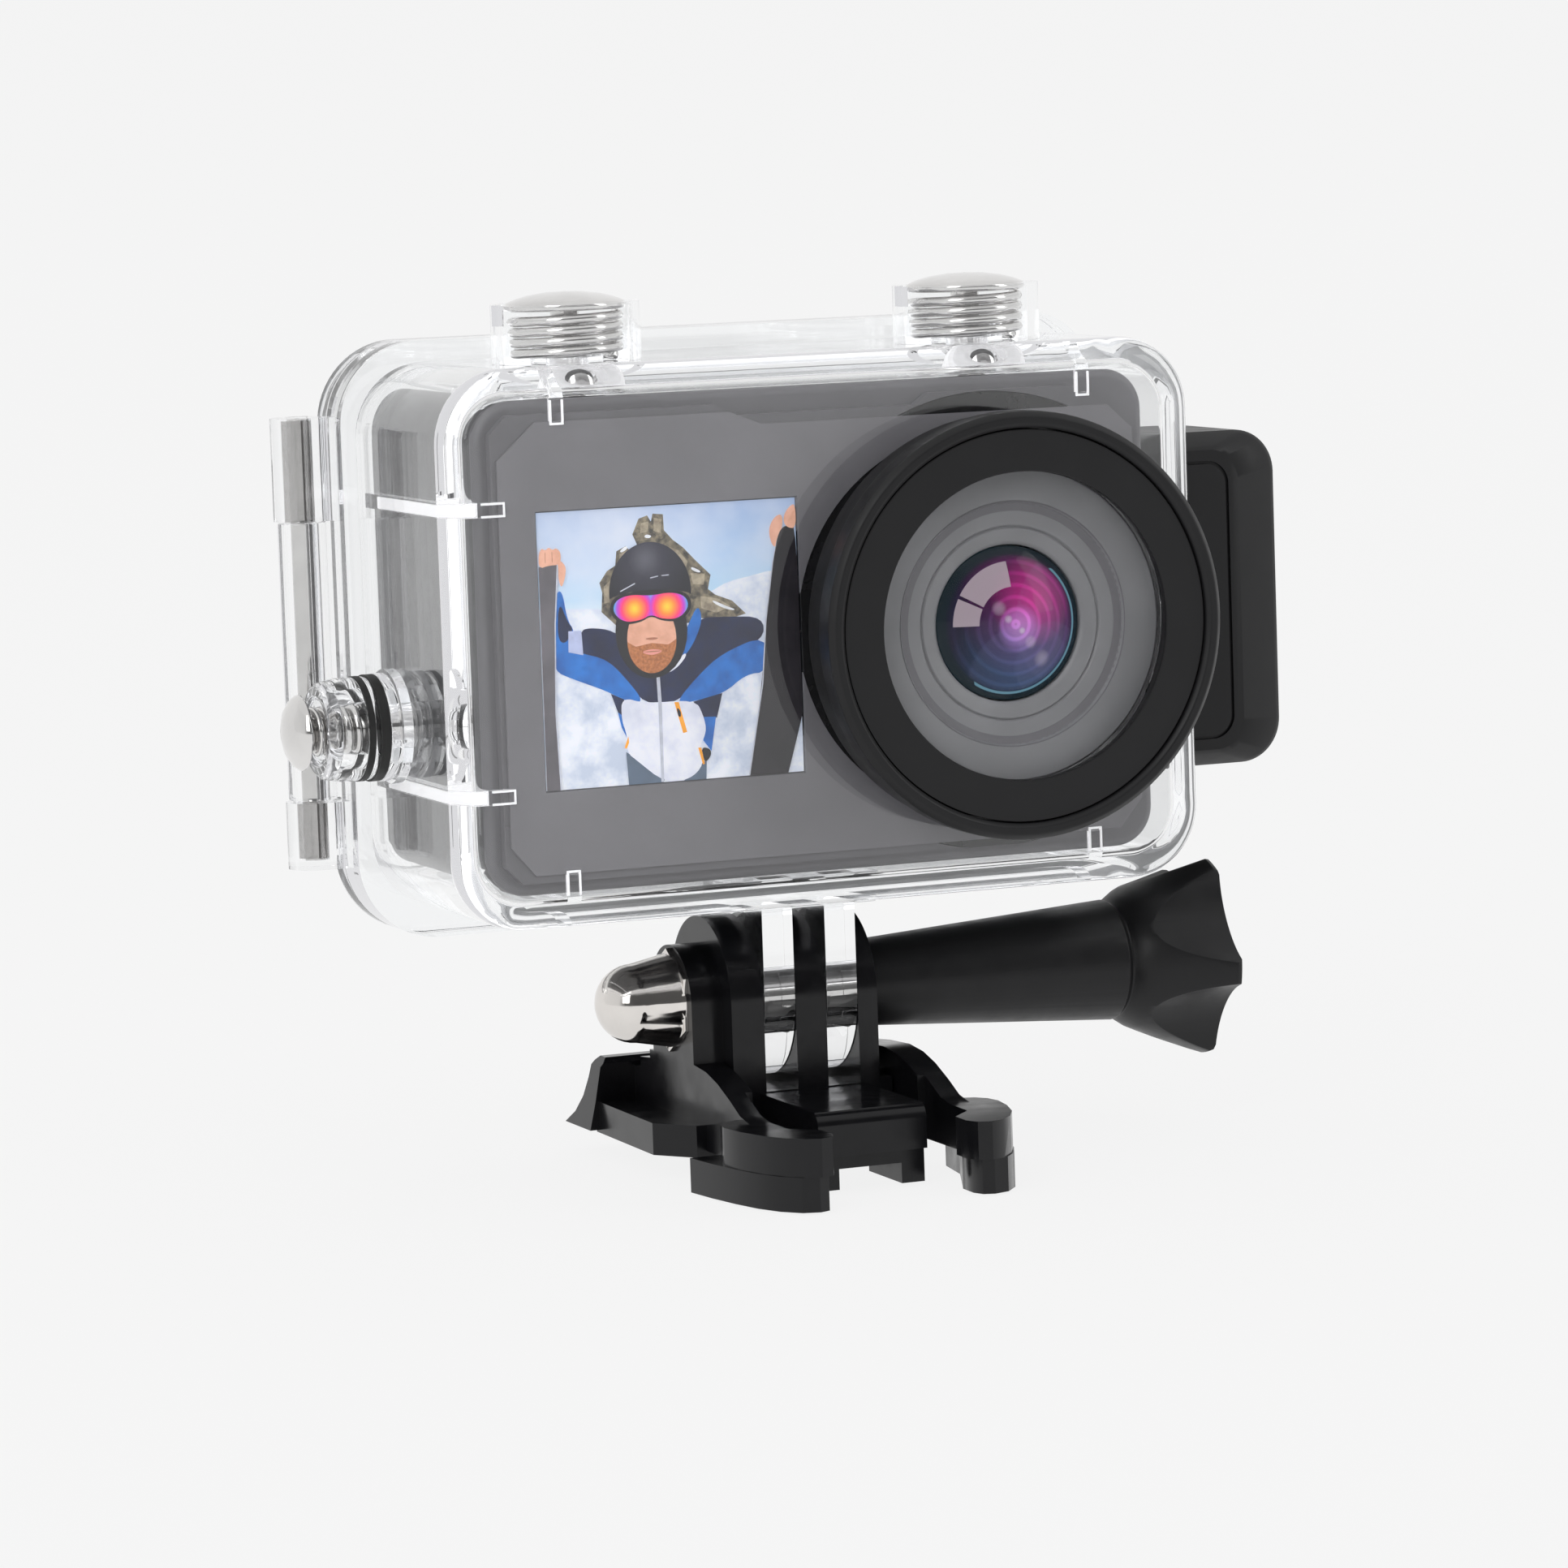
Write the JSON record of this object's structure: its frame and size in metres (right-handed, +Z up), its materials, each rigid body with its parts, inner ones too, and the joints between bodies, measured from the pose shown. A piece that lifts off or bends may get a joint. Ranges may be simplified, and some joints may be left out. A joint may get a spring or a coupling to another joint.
{
  "type": "action camera",
  "caption": "Dual-screen action camera in a clear dive housing with rear door, side latch and press buttons, on a quick-release buckle with thumbscrew.",
  "frame": {"origin": "on the buckle's underside, in the middle of the housing's width, 3.5 mm ahead of the tilt axis", "axes": "+X across the camera towards the thumbscrew knob, +Y from the lens to the rear door, +Z up"},
  "size_m": [0.0966, 0.0452, 0.08],
  "materials": {
    "clear_plastic": "clear polycarbonate, polished",
    "port_glass": "coated flat glass",
    "port_black": "satin black, finely turned",
    "satin_black": "satin moulded black",
    "gloss_black": "glossy moulded black",
    "steel_head": "polished steel",
    "steel_part": "plain steel",
    "spring_steel": "bright wire",
    "nickel": "nickel-plated",
    "rubber_black": "black rubber",
    "silicone": "translucent silicone",
    "camera_grey": "fine-grained grey paint",
    "camera_dark": "dark grey, fine grain",
    "surround_black": "smooth black",
    "front_display": "lit picture under glass",
    "rear_display": "dark glass",
    "lens_grey": "grey satin with fine grain",
    "lens_glass": "violet multi-coated",
    "lens_black": "black baffle",
    "circuit_board": "green solder mask",
    "battery_wrap": "printed film",
    "switch_white": "moulded"
  },
  "bodies": {
    "buckle": {"quick_release_buckle": "gloss_black", "cap_nut": "nickel"},
    "thumbscrew": {"thumbscrew_bolt": "steel_part", "thumbscrew_knob": "satin_black"},
    "housing": {"front_shell": "clear_plastic", "port_barrel": "port_black", "port_ring": "port_black", "port_glass": "port_glass", "port_seal": "rubber_black", "hinge_pin": "steel_part", "shutter_spring": "spring_steel", "shutter_seal": "rubber_black", "power_spring": "spring_steel", "power_seal": "rubber_black", "side_spring": "spring_steel", "side_seal": "rubber_black", "side_bushing": "clear_plastic", "side_bushing_gasket": "rubber_black", "side_bushing_ring": "rubber_black", "camera_front_cover": "camera_grey", "lens_surround": "surround_black", "camera_frame": "camera_dark", "camera_rear_cover": "camera_dark", "front_screen": "front_display", "rear_screen": "rear_display", "lens_bezel": "lens_grey", "lens_barrel": "lens_black", "lens_front_element": "lens_glass", "lens_rear_element": "lens_glass", "image_sensor": "circuit_board", "main_board": "circuit_board", "battery": "battery_wrap", "battery_door": "camera_dark", "memory_card": "lens_black", "speaker": "lens_black", "case_screws": "steel_part", "key_switches": "switch_white"},
    "door": {"rear_door": "clear_plastic", "door_gasket": "silicone", "door_pads": "rubber_black", "latch_pin": "steel_part"},
    "latch": {"latch_lever": "satin_black"},
    "shutter_press_head": {"shutter_button": "steel_head", "shutter_clip": "steel_part"},
    "power_press_head": {"power_button": "steel_head", "power_clip": "steel_part"},
    "side_press_head": {"side_button": "steel_head", "side_clip": "steel_part"},
    "shutter_key_cap": {"shutter_key": "camera_dark"},
    "power_key_cap": {"power_key": "camera_dark"},
    "side_key_cap": {"side_key": "camera_dark"}
  },
  "joints": [
    {"name": "housing_tilt", "type": "hinge", "parent": "buckle", "child": "housing", "pos_m": [0, 0.0035, 0.0154], "axis": [1, 0, 0], "range_deg": [-28, 50]},
    {"name": "thumbscrew_turn", "type": "hinge", "parent": "buckle", "child": "thumbscrew", "pos_m": [0, 0.0035, 0.0154], "axis": [1, 0, 0], "continuous": true},
    {"name": "door_swing", "type": "hinge", "parent": "housing", "child": "door", "pos_m": [-0.0399, 0.01525, 0.0493], "axis": [0, 0, 1], "range_deg": [0, 110]},
    {"name": "latch_swing", "type": "hinge", "parent": "door", "child": "latch", "pos_m": [0.0401, 0.016, 0.0486], "axis": [0, 0, 1], "range_deg": [0, 95]},
    {"name": "shutter_press", "type": "slide", "parent": "housing", "child": "shutter_press_head", "axis": [0, 0, -1], "range_m": [0, 0.0006], "stiffness_N_per_m": 2000, "deforming": ["shutter_spring"]},
    {"name": "shutter_key_press", "type": "slide", "parent": "housing", "child": "shutter_key_cap", "axis": [0, 0, -1], "range_m": [0, 0.0006]},
    {"name": "power_press", "type": "slide", "parent": "housing", "child": "power_press_head", "axis": [0, 0, -1], "range_m": [0, 0.0006], "stiffness_N_per_m": 2000, "deforming": ["power_spring"]},
    {"name": "power_key_press", "type": "slide", "parent": "housing", "child": "power_key_cap", "axis": [0, 0, -1], "range_m": [0, 0.0006]},
    {"name": "side_press", "type": "slide", "parent": "housing", "child": "side_press_head", "axis": [1, 0, 0], "range_m": [0, 0.0006], "stiffness_N_per_m": 2000, "deforming": ["side_spring"]},
    {"name": "side_key_press", "type": "slide", "parent": "housing", "child": "side_key_cap", "axis": [1, 0, 0], "range_m": [0, 0.0006]}
  ],
  "couplings": [
    {"joint": "shutter_key_press", "follows": "shutter_press", "ratio": 1},
    {"joint": "power_key_press", "follows": "power_press", "ratio": 1},
    {"joint": "side_key_press", "follows": "side_press", "ratio": 1}
  ]
}
